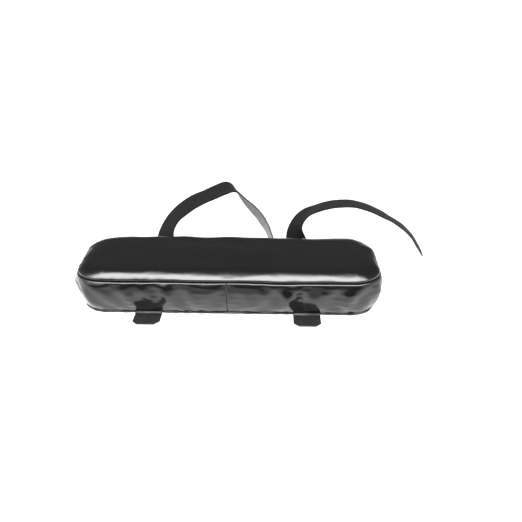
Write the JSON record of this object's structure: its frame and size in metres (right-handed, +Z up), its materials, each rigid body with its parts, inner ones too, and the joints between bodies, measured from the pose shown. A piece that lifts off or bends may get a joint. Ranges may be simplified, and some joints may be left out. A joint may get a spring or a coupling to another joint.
{
  "type": "strap-on armrest pad",
  "caption": "Long black faux-leather pad with a foam core and zipped underside, held on by hook-and-loop straps and tabs sewn into its bottom seams.",
  "frame": {"origin": "centre of the underside, the face that rests on an armrest", "axes": "+X along the pad, +Z up out of the top, tabs on the -Y side and straps on the +Y side"},
  "size_m": [0.3066, 0.1456, 0.0678],
  "materials": {
    "leathercloth": "smooth, semi-gloss, fine grain",
    "foam": "open-cell foam",
    "thread": "spun polyester thread",
    "zip_tape": "woven tape",
    "zip_coil": "moulded nylon",
    "zip_metal": "black enamel on die-cast metal",
    "loop_tape": "brushed loop pile on one side, woven on the other",
    "hook_tape": "nylon hooks"
  },
  "bodies": {
    "pad": {"foam_core": "foam", "top_panel": "leathercloth", "side_band": "leathercloth", "bottom_panel": "leathercloth", "top_seam_thread": "thread", "bottom_seam_thread": "thread", "band_joint_thread": "thread", "zipper_stitching": "thread", "zipper_tape_front": "zip_tape", "zipper_tape_rear": "zip_tape", "zipper_coil_front": "zip_coil", "zipper_coil_rear": "zip_coil", "zipper_top_stops": "zip_metal", "zipper_bottom_stop": "zip_metal"},
    "strap_left": {"strap_left": "loop_tape"},
    "strap_right": {"strap_right": "loop_tape"},
    "tab_left": {"tab_left": "hook_tape"},
    "tab_right": {"tab_right": "hook_tape"},
    "slider": {"zipper_slider": "zip_metal"},
    "pull": {"zipper_pull": "zip_metal"}
  },
  "joints": [
    {"name": "strap_left_swing", "type": "hinge", "parent": "pad", "child": "strap_left", "pos_m": [-0.064, 0.0369, 0.0007], "axis": [1, 0, 0], "range_deg": [-150, 40]},
    {"name": "strap_right_swing", "type": "hinge", "parent": "pad", "child": "strap_right", "pos_m": [0.064, 0.0369, 0.0007], "axis": [1, 0, 0], "range_deg": [-150, 40]},
    {"name": "tab_left_swing", "type": "hinge", "parent": "pad", "child": "tab_left", "pos_m": [-0.064, -0.0368, 0.0006], "axis": [1, 0, 0], "range_deg": [-80, 150]},
    {"name": "tab_right_swing", "type": "hinge", "parent": "pad", "child": "tab_right", "pos_m": [0.064, -0.0368, 0.0006], "axis": [1, 0, 0], "range_deg": [-80, 150]},
    {"name": "zipper_slide", "type": "slide", "parent": "pad", "child": "slider", "axis": [-1, 0, 0], "range_m": [0, 0.165]},
    {"name": "pull_swing", "type": "hinge", "parent": "slider", "child": "pull", "pos_m": [0.09, 0.014, 0.0015], "axis": [0, -1, 0], "range_deg": [0, 150]}
  ]
}
